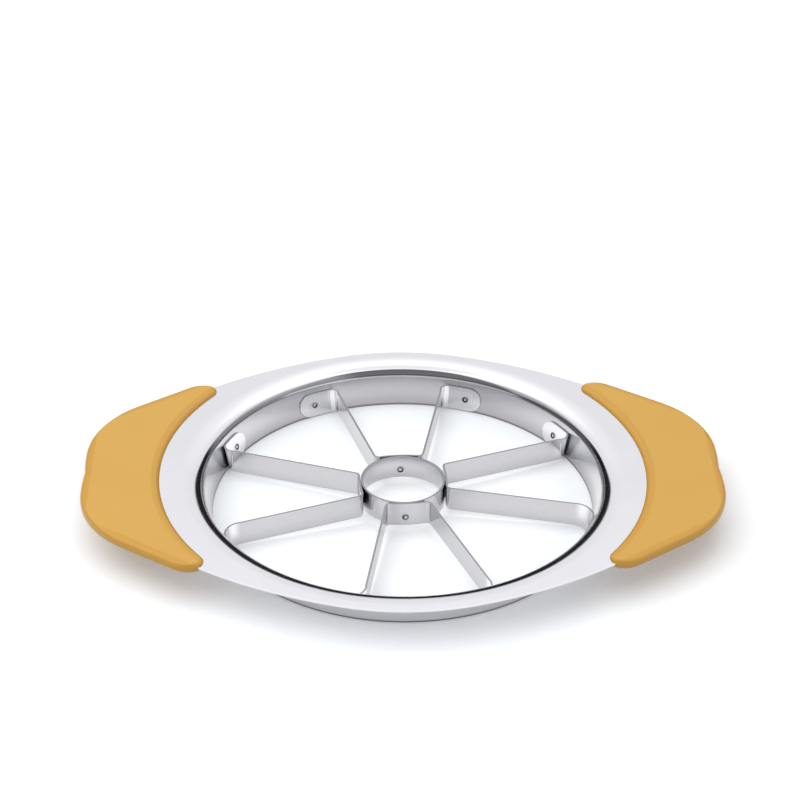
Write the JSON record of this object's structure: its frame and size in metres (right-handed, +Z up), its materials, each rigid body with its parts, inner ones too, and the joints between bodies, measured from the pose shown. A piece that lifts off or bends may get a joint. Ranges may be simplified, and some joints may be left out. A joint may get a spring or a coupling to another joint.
{
  "type": "apple wedger",
  "caption": "Press-down apple wedger: dished steel plate with a drawn collar, bent blades welded to a core ring, and a moulded grip at each end.",
  "frame": {"origin": "centre of the collar's foot, in the plane that it stands on", "axes": "+X along the two grips, +Y across them, +Z up out of the bore towards the plate"},
  "size_m": [0.1606, 0.1162, 0.0116],
  "materials": {
    "polished_steel": "satin",
    "blade_steel": "satin",
    "weld_steel": "satin",
    "grip_plastic": "matte"
  },
  "bodies": {
    "root": {"pressed_frame": "polished_steel", "core_ring": "blade_steel", "blade_strip_back": "blade_steel", "blade_strip_left": "blade_steel", "blade_strip_front": "blade_steel", "blade_strip_right": "blade_steel", "grip_left": "grip_plastic", "grip_right": "grip_plastic", "wall_spot_welds": "weld_steel", "core_spot_welds": "weld_steel"}
  },
  "joints": []
}
